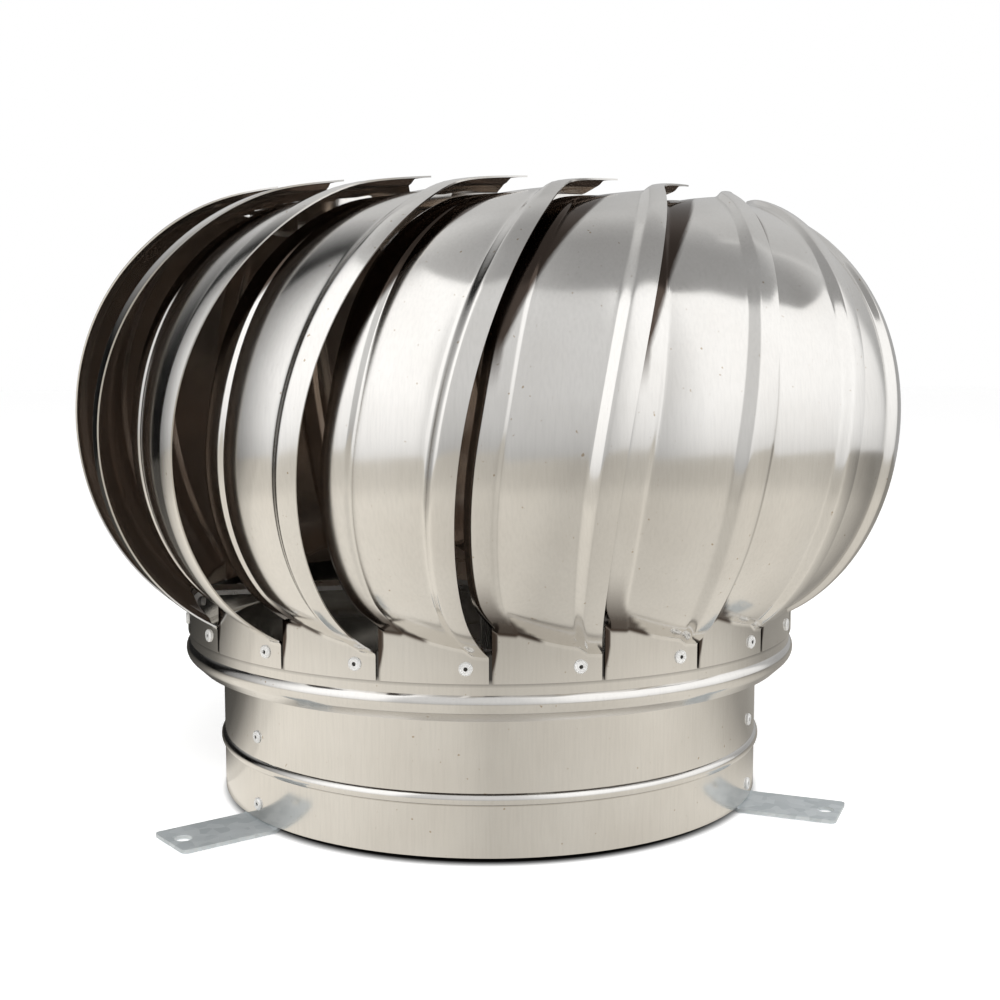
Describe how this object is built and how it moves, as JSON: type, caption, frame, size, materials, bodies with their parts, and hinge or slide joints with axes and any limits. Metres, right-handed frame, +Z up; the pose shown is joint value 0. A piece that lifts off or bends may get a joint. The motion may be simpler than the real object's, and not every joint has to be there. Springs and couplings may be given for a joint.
{
  "type": "turbine roof vent",
  "caption": "Wind-driven roof vent: a globe of curved, overlapping polished steel blades spins on a spindle above a round throat held by angle brackets.",
  "frame": {"origin": "centre of the roof bolt circle, on the spindle axis in the roof plane under the brackets", "axes": "+Z up the spindle, away from the roof; -Y towards the side the picture looks at"},
  "size_m": [0.4462, 0.4462, 0.3242],
  "materials": {
    "polished_stainless": "polished stainless sheet, mirror-like, with light handling marks",
    "galvanised_steel": "matt hot-dip galvanised, faintly mottled",
    "zinc_plated_steel": "bright zinc plate",
    "bright_steel": "ground bright",
    "cage_brass": "machined",
    "rivet_alloy": "satin"
  },
  "bodies": {
    "base": {"throat_collar": "polished_stainless", "roof_bracket_1": "galvanised_steel", "roof_bracket_2": "galvanised_steel", "roof_bracket_3": "galvanised_steel", "support_arm_1": "zinc_plated_steel", "support_arm_2": "zinc_plated_steel", "support_arm_3": "zinc_plated_steel", "bracket_rivets": "rivet_alloy", "support_arm_rivets": "rivet_alloy", "hub_plate": "zinc_plated_steel", "hub_plate_rivets": "rivet_alloy", "spindle": "bright_steel", "spindle_washers": "zinc_plated_steel", "spindle_nuts": "zinc_plated_steel", "stop_collar": "zinc_plated_steel", "retaining_nut": "zinc_plated_steel", "bearing_inner_races": "bright_steel"},
    "balls": {"bearing_balls": "bright_steel", "bearing_cages": "cage_brass"},
    "rotor": {"bearing_outer_races": "bright_steel", "lower_bearing_housing": "zinc_plated_steel", "upper_bearing_housing": "zinc_plated_steel", "lower_housing_rivets": "rivet_alloy", "rotor_arm_1": "zinc_plated_steel", "rotor_arm_2": "zinc_plated_steel", "rotor_arm_3": "zinc_plated_steel", "rotor_arm_4": "zinc_plated_steel", "rotor_ring": "polished_stainless", "blade_01": "polished_stainless", "blade_02": "polished_stainless", "blade_03": "polished_stainless", "blade_04": "polished_stainless", "blade_05": "polished_stainless", "blade_06": "polished_stainless", "blade_07": "polished_stainless", "blade_08": "polished_stainless", "blade_09": "polished_stainless", "blade_10": "polished_stainless", "blade_11": "polished_stainless", "blade_12": "polished_stainless", "blade_13": "polished_stainless", "blade_14": "polished_stainless", "blade_15": "polished_stainless", "blade_16": "polished_stainless", "blade_17": "polished_stainless", "blade_18": "polished_stainless", "blade_19": "polished_stainless", "blade_20": "polished_stainless", "blade_lower_rivets": "rivet_alloy", "blade_upper_rivets": "rivet_alloy", "top_plate": "polished_stainless", "dust_cap": "polished_stainless", "dust_cap_rivets": "rivet_alloy"}
  },
  "joints": [
    {"name": "rotor_spin", "type": "hinge", "parent": "base", "child": "rotor", "pos_m": [0, 0, 0.112], "axis": [0, 0, 1], "continuous": true},
    {"name": "balls_roll", "type": "hinge", "parent": "base", "child": "balls", "pos_m": [0, 0, 0.112], "axis": [0, 0, 1], "continuous": true}
  ],
  "couplings": [
    {"joint": "balls_roll", "follows": "rotor_spin", "ratio": 0.6111}
  ]
}
